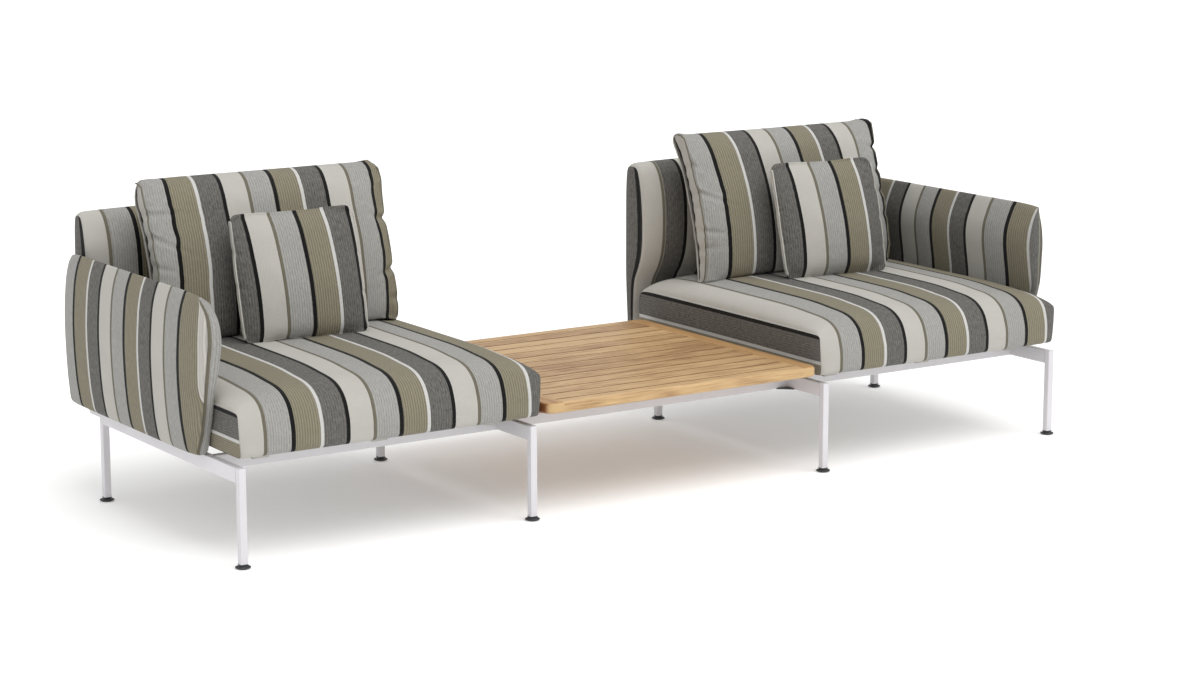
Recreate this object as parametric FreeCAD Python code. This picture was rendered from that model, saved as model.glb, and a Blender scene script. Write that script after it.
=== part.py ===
"""Two-seat companion bench with a slatted table between the seats.

Millimetres. X runs along the bench, Y from front to back and Z up. While the model is made,
X is measured from the middle of the bench, Y from the front faces of the front legs and Z from
the floor. At the end everything moves back, so that the origin is at the middle of the footprint.
"""
import FreeCAD
import Part
import math
import os

# Layout of the leg frames
seat_pitch = 855.0  # between the two leg frames that carry one seat
table_pitch = 980.0  # between the two leg frames on either side of the table
frame_depth = 840.0  # front of the front legs to the back of the rear legs
frame_height = 257.0  # floor to the top of legs, crossbeams and rails
rail_setback = 169.0  # end of the frame to the near face of the rail there

# Tubes
leg_side = 20.0
beam_height = 40.0
tube_wall = 1.5
tube_corner = 2.5
fit_gap = 0.1  # around a plug or a stem in its bore

# Levelling glides
glide_radius = 20.0
glide_base_radius = 14.0
glide_neck_radius = 9.0
glide_height = 10.0
glide_edge_height = 4.0
glide_flats = 32
stem_radius = 4.0
stem_length = 40.0
insert_flange = 2.0
insert_depth = 24.0

# Corner plates at the table's right end
gusset_along_rail = 39.0
gusset_along_beam = 34.0
gusset_thickness = 3.0

# Seat platform
bearer_count = 3
bearer_width = 45.0
bearer_height = 14.0
board_thickness = 8.0
board_side_inset = 78.0  # pad edge to board edge
board_front_inset = 80.0
board_rear_inset = 96.0

# Seat pad: rises are above its underside, reaches run inwards from its edge
pad_arm_gap = 2.0  # outer leg face to the pad's outer edge
pad_inner_reach = 23.0  # how far the pad passes the middle of the inner crossbeam
pad_overhang = 10.0  # pad front ahead of the front legs
pad_panel_gap = 12.0  # pad's rear edge to the back panel's waist
pad_seam_rise = 116.0
pad_side_bulge = 5.0
pad_side_tuck = 9.0
pad_side_draw = 4.0
pad_shoulder_inset = 52.0
pad_shoulder_round = 11.0
pad_shoulder_share = 0.2  # crown above the shoulder, as a share of the crown above the seam
pad_seam_margin = 5.0  # least height of the crown above the seam
pad_front_rise = 43.0
pad_roll_rise = 88.0
pad_roll_reach = 75.0
pad_crown_rise = 45.0
pad_crown_reach = 330.0
pad_rear_rise = 101.0
pad_rear_roll_rise = 45.0
pad_rear_roll_reach = 90.0
pad_rear_crown_rise = 30.0
pad_rear_crown_reach = 260.0

# Back panel: depths are measured forwards from its back face, rises from its underside
panel_inset = 3.8  # outer leg face to the panel's end
panel_inner_reach = 23.3
panel_overhang = 134.0  # rear leg's back face to the panel's back face
panel_frame_gap = 1.0  # top of the frame to the panel's underside
panel_foot_depth = 36.0
panel_foot_back_depth = 10.0
panel_back_bow = 8.0
panel_rise = 523.0
panel_top_crown = 7.0
panel_back_lean = 17.0  # how far the back face comes forward at its top
panel_ridge_depth = 46.0
panel_ridge_drop = 6.0  # ridge to the back face's top seam
panel_ridge_bow = 9.0
panel_brow_depth = 70.0
panel_brow_drop = 82.0  # below the ridge
panel_brow_bow = 12.0
panel_belly_depth = 62.0
panel_belly_rise = 207.0
panel_waist_depth = 44.0
panel_waist_rise = 129.0
panel_flat_bow = 2.0
panel_crown = 49.0
panel_crown_reach = 260.0

# Arm panel: side distances from the outer leg face, outwards negative, rises from its underside
arm_front = 100.0
arm_rear_depth = 10.0  # arm's rear end ahead of the back panel's back face
arm_rise = 418.0
arm_bottom_outer = -39.0
arm_bottom_inner = -2.0
arm_bottom_taper = 8.0  # how much narrower the underside is at the ends
arm_flat_inner = -3.0  # inner face where it lies beside the back panel
arm_waist_rise = 169.0
arm_waist_inner = -6.0
arm_inner_bow = 7.0
arm_shoulder_rise = 341.0
arm_shoulder_outer = -58.0
arm_shoulder_inner = 12.0
arm_outer_bow = 11.0
arm_crest = -26.0
arm_crest_slip = 4.0
arm_roll_bow = 15.0
arm_end_roll_bow = 6.0
arm_nose_outer = -20.0
arm_trim = 4.0  # length at each end that the curved side outline trims off
arm_nose_reach = 95.0
arm_tail_reach = 90.0
arm_tail_flat = 100.0  # stretch beside the back panel where the inner face doesn't bulge
arm_tail_lean = 3.0
arm_tail_round = 55.0
arm_nose_round = 48.0
arm_nose_bow = 13.0
arm_brow_depth = 3.0
arm_brow_rise = 361.0
arm_brow_bow = 6.0
arm_throat_depth = 7.0
arm_throat_rise = 189.0
arm_throat_bow = 4.0
arm_foot_setback = 82.0  # how far the lower front corner lies behind the front

# Back cushion: rises are above its underside, depths are behind its front seam's lower end
cushion_width = 736.0
cushion_offsets = (108.0, 76.0)  # pad's left edge to the cushion's left edge, left and right seat
cushion_front_depth = 297.0  # back panel's back face to the cushion's front seam
cushion_height = 432.0
cushion_lean = 123.0  # how far the top seam lies behind the bottom seam
cushion_border = 66.0
cushion_pinch = 14.0  # width of the border at the lower corners
cushion_front_crown = 50.0
cushion_back_crown = 92.0
cushion_crown_reach = 190.0
cushion_side_draw = 10.0
cushion_ear = 9.0
cushion_corner_sag = 4.0  # how far its lower corners hang below its middle
cushion_low_rise = 88.0
cushion_low_depth = -7.0
cushion_low_bow = 27.0
cushion_high_rise = 352.0
cushion_high_depth = 75.0
cushion_front_bow = 21.0
cushion_back_rise = 190.0
cushion_back_depth = 78.0

# Lumbar pillow, in the same terms
pillow_width = 350.0
pillow_offsets = (311.0, 300.0)
pillow_turns = (2.5, 5.2)  # degrees, right end forward
pillow_cushion_depth = 147.0  # the cushion's front seam to the pillow's
pillow_height = 334.0
pillow_lean = 93.0
pillow_border = 9.0
pillow_pinch = 8.0
pillow_front_crown = 25.0
pillow_back_crown = 53.0
pillow_crown_reach = 120.0
pillow_side_draw = 9.0
pillow_ear = 8.0
pillow_corner_sag = 0.0
pillow_low_rise = 50.0
pillow_low_depth = 4.0
pillow_low_bow = 6.0
pillow_high_rise = 262.0
pillow_high_depth = 60.0
pillow_front_bow = 12.0
pillow_back_rise = 150.0
pillow_back_depth = 46.0

rest_gap = 0.4  # between loose cushions and what they lie on

# Frames inside the upholstery, and the brackets that carry them
core_bar = 20.0
core_thickness = 12.0
core_clearance = 12.0  # underside of an upholstered panel to its frame
back_core_depth = 28.0  # front of the frame ahead of the panel's back face
back_core_drop = 33.0  # panel's top to the frame's top
arm_core_outer = -27.0
arm_core_front_inset = 115.0
arm_core_rear_inset = 59.0
arm_core_drop = 59.0
back_bracket_thickness = 5.0
back_bracket_depth = 30.0
back_bracket_grip = 150.0  # length along the crossbeam
back_bracket_upright = 12.0
back_bracket_cut = 10.0  # sloped lower rear corner
back_bracket_drop = 181.0
arm_bracket_thickness = 4.0
arm_bracket_width = 40.0
arm_bracket_insets = (240.0, 280.0)  # frame's front and rear to the near side of a bracket
arm_bracket_drop = 159.0

# Table
table_pad_gap = 13.0  # seat pad to the table's end
table_overhang = 9.5
table_rear_overhang = 26.0
table_thickness = 28.5
batten_height = 28.0
slat_gap = 5.0
slat_count = 14
front_slat_width = 39.3
rear_slat_width = 48.8
end_rail_width = 54.0
table_corner = 30.0
table_nose = 9.0
table_chamfer = 4.0
batten_count = 3
batten_width = 45.0
batten_inset = 62.0

# Heights and places that follow from the sizes above
leg_bottom = glide_height + insert_flange
beam_bottom = frame_height - beam_height
bench_half = table_pitch / 2 + seat_pitch
frame_centres = (-bench_half, -table_pitch / 2, table_pitch / 2, bench_half)
outer_face = bench_half + leg_side / 2
rail_fronts = (rail_setback, frame_depth - rail_setback - leg_side)
board_bottom = frame_height + bearer_height
panel_width = seat_pitch + leg_side / 2 - panel_inset + panel_inner_reach
panel_back = frame_depth + panel_overhang
panel_bottom = frame_height + panel_frame_gap
panel_top = panel_bottom + panel_rise
pad_width = seat_pitch + leg_side / 2 - pad_arm_gap + pad_inner_reach
pad_left_edges = (pad_arm_gap - outer_face, outer_face - pad_arm_gap - pad_width)
pad_bottom = board_bottom + board_thickness
pad_front = -pad_overhang
pad_rear = panel_back - panel_waist_depth - pad_panel_gap
arm_bottom = frame_height + arm_bracket_thickness
arm_top = arm_bottom + arm_rise
arm_rear = panel_back - arm_rear_depth
cushion_front = panel_back - cushion_front_depth
pillow_front = cushion_front - pillow_cushion_depth
back_core_front = panel_back - back_core_depth
arm_bracket_starts = (
    arm_bracket_insets[0], frame_depth - arm_bracket_insets[1] - arm_bracket_width
)
table_length = table_pitch - 2 * (pad_inner_reach + table_pad_gap)
table_depth = frame_depth + table_overhang + table_rear_overhang
table_bottom = frame_height + batten_height
table_top = table_bottom + table_thickness
slat_pitch = (table_depth - front_slat_width - rear_slat_width - slat_gap) / (slat_count - 2)


def vector(x, y, z):
    return FreeCAD.Vector(x, y, z)


def blend(low, high, share):
    return low + (high - low) * share


def swell(distance, reach):
    """Quarter round: 0 at the edge and 1 from the reach inwards."""
    if distance >= reach:
        return 1.0
    return math.sqrt(1.0 - (1.0 - max(distance, 0.0) / reach) ** 2)


def box(x0, x1, y0, y1, z0, z1):
    return Part.makeBox(x1 - x0, y1 - y0, z1 - z0, vector(x0, y0, z0))


def mirrored(shape):
    return shape.mirror(vector(0, 0, 0), vector(1, 0, 0))


def ring(outline, place):
    """Closed wire through (a, b, sag) corners, counterclockwise; sag bows the side that follows."""
    edges = []
    for start, end in zip(outline, outline[1:] + outline[:1]):
        first = place(start[0], start[1])
        last = place(end[0], end[1])
        if abs(start[2]) < 0.01:
            edges.append(Part.LineSegment(first, last).toShape())
            continue
        chord = math.hypot(end[0] - start[0], end[1] - start[1])
        middle_a = (start[0] + end[0]) / 2 + start[2] * (end[1] - start[1]) / chord
        middle_b = (start[1] + end[1]) / 2 + start[2] * (start[0] - end[0]) / chord
        edges.append(Part.Arc(first, place(middle_a, middle_b), last).toShape())
    return Part.Wire(edges)


def prism(outline, place, along):
    return Part.Face(ring(outline, place)).extrude(along)


def loft(rings):
    """Closed solid through the rings, with straight runs from each ring to the next."""
    return Part.makeLoft(rings, True, True)


def edge_stations(width, reaches):
    """Distances from one edge to the other, close together near both edges."""
    near = [0.0] + list(reaches)
    return near + [width / 2] + [width - step for step in reversed(near)]


# Tubes and frame


def tube(size, wall, axis, start, length):
    """Hollow tube with rounded long edges; size is across the two other axes, in X, Y, Z order."""
    across = [index for index in range(3) if index != axis]

    def block(inset):
        low = [0.0, 0.0, 0.0]
        extent = [0.0, 0.0, 0.0]
        low[axis] = start[axis]
        extent[axis] = length
        for index, side in zip(across, size):
            low[index] = start[index] + inset
            extent[index] = side - 2 * inset
        return Part.makeBox(*extent, vector(*low))

    solid = block(0.0)
    direction = vector(*[float(index == axis) for index in range(3)])
    long_edges = [
        edge for edge in solid.Edges
        if abs(edge.tangentAt(edge.FirstParameter).dot(direction)) > 0.9
    ]
    return solid.makeFillet(tube_corner, long_edges).cut(block(wall))


def leg(centre, front):
    """Square tube standing on its insert, closed by a welded cap at the top."""
    corner = (centre - leg_side / 2, front, leg_bottom)
    sides = (leg_side, leg_side)
    shell = tube(sides, tube_wall, 2, corner, frame_height - leg_bottom)
    inside = leg_side - 2 * tube_wall
    cap = Part.makeBox(
        inside, inside, tube_wall,
        vector(corner[0] + tube_wall, front + tube_wall, frame_height - tube_wall),
    )
    return shell.fuse(cap).removeSplitter()


def crossbeam(centre):
    start = (centre - leg_side / 2, leg_side, beam_bottom)
    return tube((leg_side, beam_height), tube_wall, 1, start, frame_depth - 2 * leg_side)


def rail(left_frame, right_frame, front):
    left = left_frame + leg_side / 2
    start = (left, front, beam_bottom)
    return tube((leg_side, beam_height), tube_wall, 0, start, right_frame - leg_side / 2 - left)


def leg_insert(centre, middle):
    """Plastic plug in the foot of a leg: a flange, a plug and a bore for the glide's stem."""
    plug = leg_side - 2 * tube_wall - 2 * fit_gap
    flange = box(
        centre - leg_side / 2, centre + leg_side / 2, middle - leg_side / 2, middle + leg_side / 2,
        glide_height, leg_bottom,
    )
    body = box(
        centre - plug / 2, centre + plug / 2, middle - plug / 2, middle + plug / 2,
        leg_bottom, leg_bottom + insert_depth,
    )
    bore = Part.makeCylinder(
        stem_radius + fit_gap, insert_flange + insert_depth, vector(centre, middle, glide_height)
    )
    return flange.fuse(body).cut(bore).removeSplitter()


def flat_sided(rings):
    """Solid with flat faces between rings of corners, one above the other."""
    faces = [Part.Face(Part.makePolygon(ring + ring[:1])) for ring in (rings[0], rings[-1])]
    for lower, upper in zip(rings, rings[1:]):
        for step in range(len(lower)):
            corners = [lower[step - 1], lower[step], upper[step], upper[step - 1]]
            faces.append(Part.Face(Part.makePolygon(corners + corners[:1])))
    return Part.makeSolid(Part.makeShell(faces))


def glide(centre, middle):
    """Foot turned with fine flats, on a round threaded stem."""
    rings = []
    for radius, height in (
        (glide_base_radius, 0.0),
        (glide_radius, glide_edge_height),
        (glide_neck_radius, glide_height),
    ):
        angles = [2 * math.pi * step / glide_flats for step in range(glide_flats)]
        rings.append([
            vector(centre + radius * math.cos(angle), middle + radius * math.sin(angle), height)
            for angle in angles
        ])
    stem = Part.makeCylinder(stem_radius, stem_length, vector(centre, middle, glide_height))
    return flat_sided(rings).fuse(stem)


def corner_gusset(front_rail):
    """Flat triangle in the corner between the table's rail and the crossbeam to its right."""
    beam_face = frame_centres[2] - leg_side / 2
    rail_face = rail_setback if front_rail else frame_depth - rail_setback
    reach = -gusset_along_beam if front_rail else gusset_along_beam
    corners = [
        vector(beam_face, rail_face, beam_bottom),
        vector(beam_face, rail_face + reach, beam_bottom),
        vector(beam_face - gusset_along_rail, rail_face, beam_bottom),
    ]
    face = Part.Face(Part.makePolygon(corners + corners[:1]))
    return face.extrude(vector(0, 0, gusset_thickness))


# Seat platform


def bearer_centres(seat):
    """Middles of the bearers under one seat, evenly spread under its board."""
    left = pad_left_edges[seat] + board_side_inset + bearer_width / 2
    right = pad_left_edges[seat] + pad_width - board_side_inset - bearer_width / 2
    return [blend(left, right, step / (bearer_count - 1)) for step in range(bearer_count)]


def seat_bearers(seat):
    bearers = []
    for centre in bearer_centres(seat):
        bearer = box(
            centre - bearer_width / 2, centre + bearer_width / 2,
            board_front_inset, frame_depth - board_rear_inset, frame_height, board_bottom,
        )
        bearers.append(bearer)
    return Part.makeCompound(bearers)


def seat_board(seat):
    left = pad_left_edges[seat] + board_side_inset
    right = pad_left_edges[seat] + pad_width - board_side_inset
    board = box(
        left, right, board_front_inset, frame_depth - board_rear_inset, board_bottom, pad_bottom
    )
    corners = [edge for edge in board.Edges if abs(edge.tangentAt(0).z) > 0.9]
    return board.makeFillet(bearer_width / 2, corners)


# Upholstery


def pad_top(y):
    """Height of the seat pad along its middle line."""
    ahead = y - pad_front
    behind = pad_rear - y
    front = pad_bottom + pad_front_rise
    front += pad_roll_rise * swell(ahead, pad_roll_reach)
    front += pad_crown_rise * swell(ahead, pad_crown_reach)
    rear = pad_bottom + pad_rear_rise
    rear += pad_rear_roll_rise * swell(behind, pad_rear_roll_reach)
    rear += pad_rear_crown_rise * swell(behind, pad_rear_crown_reach)
    return min(front, rear)


def pad_station(left, y):
    """Cross-section of the seat pad in an X-Z plane."""
    ahead = y - pad_front
    length = pad_rear - pad_front
    draw = pad_side_draw * (1 - (2 * ahead / length - 1) ** 2)
    x0 = left + draw
    x1 = left + pad_width - draw
    top = pad_top(y)
    full_roll = pad_roll_rise + pad_crown_rise + pad_front_rise - pad_seam_rise
    seam = min(pad_bottom + pad_seam_rise, top - pad_seam_margin)
    share = min((top - seam) / full_roll, 1.0)
    crown = pad_shoulder_share * share * full_roll
    shoulder = top - crown
    inset = pad_shoulder_inset * share
    outline = [
        (x0 + pad_side_tuck, pad_bottom, 0.0),
        (x1 - pad_side_tuck, pad_bottom, pad_side_bulge),
        (x1, seam, pad_shoulder_round * share),
        (x1 - inset, shoulder, crown),
        (x0 + inset, shoulder, pad_shoulder_round * share),
        (x0, seam, pad_side_bulge),
    ]
    return ring(outline, lambda x, z: vector(x, y, z))


def seat_cushion(seat):
    """Boxed pad with a rolled front, a crowned top and sides that draw in."""
    reaches = (4.0, 14.0, 34.0, 75.0, 150.0, 300.0)
    stations = [pad_front + step for step in edge_stations(pad_rear - pad_front, reaches)]
    return loft([pad_station(pad_left_edges[seat], y) for y in stations])


def panel_station(left, distance):
    """Cross-section of the back panel in a Y-Z plane."""
    full = swell(min(distance, panel_width - distance), panel_crown_reach)
    crown = panel_crown * full
    ridge = panel_top + panel_top_crown * full
    belly = panel_bottom + panel_belly_rise
    waist = panel_bottom + panel_waist_rise
    outline = [
        (panel_back - panel_foot_depth, panel_bottom, 0.0),
        (panel_back - panel_foot_back_depth, panel_bottom, panel_back_bow),
        (panel_back - panel_back_lean, ridge - panel_ridge_drop, panel_flat_bow),
        (panel_back - panel_ridge_depth, ridge, panel_ridge_bow),
        (panel_back - panel_brow_depth - 0.8 * crown, ridge - panel_brow_drop,
         panel_brow_bow + 0.16 * crown),
        (panel_back - panel_belly_depth - 0.95 * crown, belly, panel_flat_bow),
        (panel_back - panel_waist_depth, waist, 0.0),
    ]
    return ring(outline, lambda y, z: vector(left + distance, y, z))


def back_panel(seat):
    """Upholstered back board: thin at the foot, swelling out above the seat pad."""
    reaches = (10.0, 32.0, 80.0, 170.0)
    left = panel_inset - outer_face
    shape = loft([panel_station(left, step) for step in edge_stations(panel_width, reaches)])
    shape = shape.cut([back_frame(0), back_brackets(0)])
    return mirrored(shape) if seat else shape


def arm_station(y):
    """Cross-section of the left arm panel in an X-Z plane."""
    nose = swell(y - arm_front + arm_trim, arm_nose_reach)
    tail = swell(arm_rear + arm_trim - y, arm_tail_reach)
    ends = min(nose, tail)
    outer = blend(arm_nose_outer, arm_shoulder_outer, ends)
    bottom = blend(arm_bottom_outer + arm_bottom_taper, arm_bottom_outer, ends)
    bulge = swell(arm_rear - arm_tail_flat - y, arm_tail_reach)
    inner = blend(arm_flat_inner, arm_shoulder_inner, bulge)
    crest = arm_crest - arm_crest_slip * (1 - nose)
    roll = blend(arm_end_roll_bow, arm_roll_bow, ends)
    shoulder = arm_bottom + arm_shoulder_rise
    outline = [
        (bottom - outer_face, arm_bottom, 0.0),
        (arm_bottom_inner - outer_face, arm_bottom, 0.0),
        (arm_waist_inner - outer_face, arm_bottom + arm_waist_rise, arm_inner_bow),
        (inner - outer_face, shoulder, roll),
        (crest - outer_face, arm_top, roll),
        (outer - outer_face, shoulder, arm_outer_bow * ends),
    ]
    return ring(outline, lambda x, z: vector(x, y, z))


def arm_side_outline():
    """Side view of the arm: the front swells forward above a foot that is set back."""
    below = arm_bottom - arm_trim
    above = arm_top + arm_trim
    return [
        (arm_front + arm_foot_setback, below, 0.0),
        (arm_rear - arm_tail_lean, below, arm_tail_lean),
        (arm_rear, arm_top - arm_tail_round, arm_tail_round / 4),
        (arm_rear - arm_tail_round, above, 0.0),
        (arm_front + arm_nose_round, above, arm_nose_bow),
        (arm_front + arm_brow_depth, arm_bottom + arm_brow_rise, arm_brow_bow),
        (arm_front + arm_throat_depth, arm_bottom + arm_throat_rise, -arm_throat_bow),
    ]


def arm_panel(side):
    """Upholstered arm with a rolled top, hung outside the leg frame."""
    start = arm_front - arm_trim
    end = arm_rear + arm_trim
    steps = (0.0, 12.0, 36.0, arm_nose_reach)
    stations = [start + step for step in steps]
    stations.append(end - arm_tail_flat - arm_tail_reach)
    stations += [end - step for step in reversed(steps)]
    shape = loft([arm_station(y) for y in stations])
    left = 2 * arm_shoulder_outer - outer_face
    side_view = prism(
        arm_side_outline(),
        lambda y, z: vector(left, y, z),
        vector(-4 * arm_shoulder_outer, 0, 0),
    )
    shape = shape.common(side_view).cut([arm_frame(0), arm_brackets(0)])
    return mirrored(shape) if side else shape


def leaning_station(place, front, bottom, size, full):
    """Cross-section of a leaning cushion in a Y-Z plane, at a share of its full crown."""
    low = (
        front + size["low_depth"] - size["front_crown"] * full,
        bottom + size["low_rise"],
    )
    high = (
        front + size["high_depth"] - size["front_crown"] * full,
        bottom + size["high_rise"],
    )
    rear = (
        front + size["back_depth"] + size["back_crown"] * full,
        bottom + size["back_rise"],
    )
    top = (front + size["lean"], bottom + size["height"] - size["ear"] * full)
    slope = math.hypot(size["lean"], size["height"])
    drop = size["border"] * size["lean"] / slope
    outline = [
        (front, bottom, 0.0),
        (front + blend(size["pinch"], size["border"], full), bottom, 0.0),
        (rear[0], rear[1], 0.0),
        (top[0] + size["border"] * size["height"] / slope, top[1] - drop, 0.0),
        (top[0], top[1], 0.0),
        (high[0], high[1], size["front_bow"]),
        (low[0], low[1], size["low_bow"] * full),
    ]
    return ring(outline, place)


def leaning_cushion(left, front, width, draw, reaches, size):
    """Cushion that leans back: bowed faces, full in the middle, with sides drawn in."""
    rest = pad_top(front + size["border"] / 2) + rest_gap
    rings = []
    for step in edge_stations(width, reaches):
        full = swell(min(step, width - step), size["reach"])
        bottom = rest - size["corner_sag"] * (1 - full)
        rings.append(leaning_station(
            lambda y, z, x=left + step: vector(x, y, z), front, bottom, size, full
        ))
    low = rest - size["ear"]
    high = rest + size["height"] + size["ear"]
    sides = [(0.0, low, 0.0), (width, low, -draw), (width, high, 0.0), (0.0, high, -draw)]
    front_view = prism(
        sides, lambda x, z: vector(left + x, frame_depth / 2, z), vector(0, frame_depth, 0)
    )
    return loft(rings).common(front_view)


def back_cushion(seat):
    size = {
        "height": cushion_height, "lean": cushion_lean, "border": cushion_border,
        "pinch": cushion_pinch, "reach": cushion_crown_reach,
        "front_crown": cushion_front_crown, "back_crown": cushion_back_crown,
        "low_rise": cushion_low_rise, "low_depth": cushion_low_depth,
        "high_rise": cushion_high_rise, "high_depth": cushion_high_depth,
        "low_bow": cushion_low_bow, "front_bow": cushion_front_bow,
        "back_rise": cushion_back_rise, "back_depth": cushion_back_depth, "ear": cushion_ear,
        "corner_sag": cushion_corner_sag,
    }
    left = pad_left_edges[seat] + cushion_offsets[seat]
    return leaning_cushion(
        left, cushion_front, cushion_width, cushion_side_draw, (14.0, 45.0, 100.0), size
    )


def lumbar_pillow(seat):
    size = {
        "height": pillow_height, "lean": pillow_lean, "border": pillow_border,
        "pinch": pillow_pinch, "reach": pillow_crown_reach,
        "front_crown": pillow_front_crown, "back_crown": pillow_back_crown,
        "low_rise": pillow_low_rise, "low_depth": pillow_low_depth,
        "high_rise": pillow_high_rise, "high_depth": pillow_high_depth,
        "low_bow": pillow_low_bow, "front_bow": pillow_front_bow,
        "back_rise": pillow_back_rise, "back_depth": pillow_back_depth, "ear": pillow_ear,
        "corner_sag": pillow_corner_sag,
    }
    left = pad_left_edges[seat] + pillow_offsets[seat]
    pillow = leaning_cushion(
        left, pillow_front, pillow_width, pillow_side_draw, (20.0, 60.0), size
    )
    pillow.rotate(vector(left, pillow_front, 0), vector(0, 0, 1), -pillow_turns[seat])
    return pillow


# Frames inside the upholstery, made for the left seat and mirrored


def back_frame(seat):
    """Bar loop inside the back panel, between the two brackets."""
    left = frame_centres[0] + leg_side / 2 + back_bracket_thickness
    right = frame_centres[1] - leg_side / 2 - back_bracket_thickness
    low = panel_bottom + core_clearance
    high = panel_top - back_core_drop
    rear = back_core_front + core_thickness
    loop = box(left, right, back_core_front, rear, low, high)
    opening = box(
        left + core_bar, right - core_bar, back_core_front, rear, low + core_bar, high - core_bar
    )
    loop = loop.cut(opening)
    return mirrored(loop) if seat else loop


def back_brackets(seat):
    """Two flat L-shaped plates: along the crossbeam, out behind the leg and up into the panel."""
    start = frame_depth - back_bracket_grip
    rear = back_core_front + core_thickness
    upright = rear - back_bracket_upright
    low = beam_bottom + (beam_height - back_bracket_depth) / 2
    high = low + back_bracket_depth
    top = panel_top - back_bracket_drop
    outline = [
        (start, low, 0.0),
        (rear - back_bracket_cut, low, 0.0),
        (rear, low + back_bracket_cut, 0.0),
        (rear, top, 0.0),
        (upright, top, 0.0),
        (upright, high, 0.0),
        (start, high, 0.0),
    ]
    sides = (
        frame_centres[0] + leg_side / 2,
        frame_centres[1] - leg_side / 2 - back_bracket_thickness,
    )
    plates = [
        prism(outline, lambda y, z, x=x: vector(x, y, z), vector(back_bracket_thickness, 0, 0))
        for x in sides
    ]
    brackets = Part.makeCompound(plates)
    return mirrored(brackets) if seat else brackets


def arm_frame(side):
    """Bar loop inside the arm panel."""
    outer = arm_core_outer - outer_face
    inner = outer + core_thickness
    front = arm_front + arm_core_front_inset
    rear = arm_rear - arm_core_rear_inset
    low = arm_bottom + core_clearance
    high = arm_top - arm_core_drop
    loop = box(outer, inner, front, rear, low, high)
    opening = box(
        outer, inner, front + core_bar, rear - core_bar, low + core_bar, high - core_bar
    )
    loop = loop.cut(opening)
    return mirrored(loop) if side else loop


def arm_brackets(side):
    """Two L-shaped straps: flat on the crossbeam, then up inside the arm beside its frame."""
    inner = arm_core_outer + core_thickness - outer_face
    straps = []
    for start in arm_bracket_starts:
        end = start + arm_bracket_width
        foot = box(
            inner, frame_centres[0] + leg_side / 2, start, end,
            frame_height, frame_height + arm_bracket_thickness,
        )
        upright = box(
            inner, inner + arm_bracket_thickness, start, end,
            frame_height, arm_top - arm_bracket_drop,
        )
        straps.append(foot.fuse(upright).removeSplitter())
    brackets = Part.makeCompound(straps)
    return mirrored(brackets) if side else brackets


# Table


def slat_edges(index):
    """Front and rear edge of one slat."""
    first_gap = front_slat_width - table_overhang
    front = first_gap + (index - 1) * slat_pitch + slat_gap if index else -table_overhang
    rear = first_gap + index * slat_pitch
    if index == slat_count - 1:
        rear = front + rear_slat_width
    return front, rear


def level_edges(board, height):
    return [edge for edge in board.Edges if abs(edge.CenterOfMass.z - height) < 0.01]


def long_edges(slat, height, inner_side):
    """Edges of an outer slat at one height, along X, on its outer side."""
    return [
        edge for edge in level_edges(slat, height)
        if abs(edge.tangentAt(edge.FirstParameter).x) > 0.9
        and abs(edge.CenterOfMass.y - inner_side) > 0.01
    ]


def table_slats():
    """Slats laid side by side with open gaps; the outer two have a rounded nose."""
    half = table_length / 2 - end_rail_width
    slats = []
    for index in range(slat_count):
        front, rear = slat_edges(index)
        slat = box(-half, half, front, rear, table_bottom, table_top)
        if index in (0, slat_count - 1):
            inner_side = rear if index == 0 else front
            slat = slat.makeFillet(table_nose, long_edges(slat, table_top, inner_side))
            slat = slat.makeChamfer(table_chamfer, long_edges(slat, table_bottom, inner_side))
        slats.append(slat)
    return Part.makeCompound(slats)


def table_end_rail(side):
    """Board across the ends of the slats, with rounded corners and outer edges."""
    front = -table_overhang
    left = -table_length / 2
    right = left + end_rail_width
    board = box(left, right, front, front + table_depth, table_bottom, table_top)
    corners = [
        edge for edge in board.Edges
        if abs(edge.tangentAt(0).z) > 0.9 and abs(edge.CenterOfMass.x - left) < 0.01
    ]
    board = board.makeFillet(table_corner, corners)
    for height, round_off in ((table_top, True), (table_bottom, False)):
        outline = [
            edge for edge in level_edges(board, height)
            if abs(edge.CenterOfMass.x - right) > 0.01
        ]
        if round_off:
            board = board.makeFillet(table_nose, outline)
        else:
            board = board.makeChamfer(table_chamfer, outline)
    return mirrored(board) if side else board


def batten_centres():
    left = -table_length / 2 + batten_inset + batten_width / 2
    return [blend(left, -left, step / (batten_count - 1)) for step in range(batten_count)]


def table_battens():
    front = slat_edges(0)[1]
    rear = slat_edges(slat_count - 1)[0]
    battens = [
        box(centre - batten_width / 2, centre + batten_width / 2, front, rear,
            frame_height, table_bottom)
        for centre in batten_centres()
    ]
    return Part.makeCompound(battens)


# Assembly


def frame_nodes():
    nodes = {}
    middles = {"front": leg_side / 2, "rear": frame_depth - leg_side / 2}
    for number, centre in enumerate(frame_centres, 1):
        nodes[f"crossbeam_{number}"] = crossbeam(centre)
        for place, middle in middles.items():
            nodes[f"{place}_leg_{number}"] = leg(centre, middle - leg_side / 2)
            nodes[f"glide_{place}_{number}"] = glide(centre, middle)
    nodes["leg_inserts"] = Part.makeCompound(
        [leg_insert(centre, middle) for centre in frame_centres for middle in middles.values()]
    )
    for name, left, right in (("left", 0, 1), ("table", 1, 2), ("right", 2, 3)):
        for place, front in zip(("front", "rear"), rail_fronts):
            nodes[f"{place}_rail_{name}"] = rail(frame_centres[left], frame_centres[right], front)
    nodes["corner_gussets"] = Part.makeCompound([corner_gusset(True), corner_gusset(False)])
    return nodes


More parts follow.
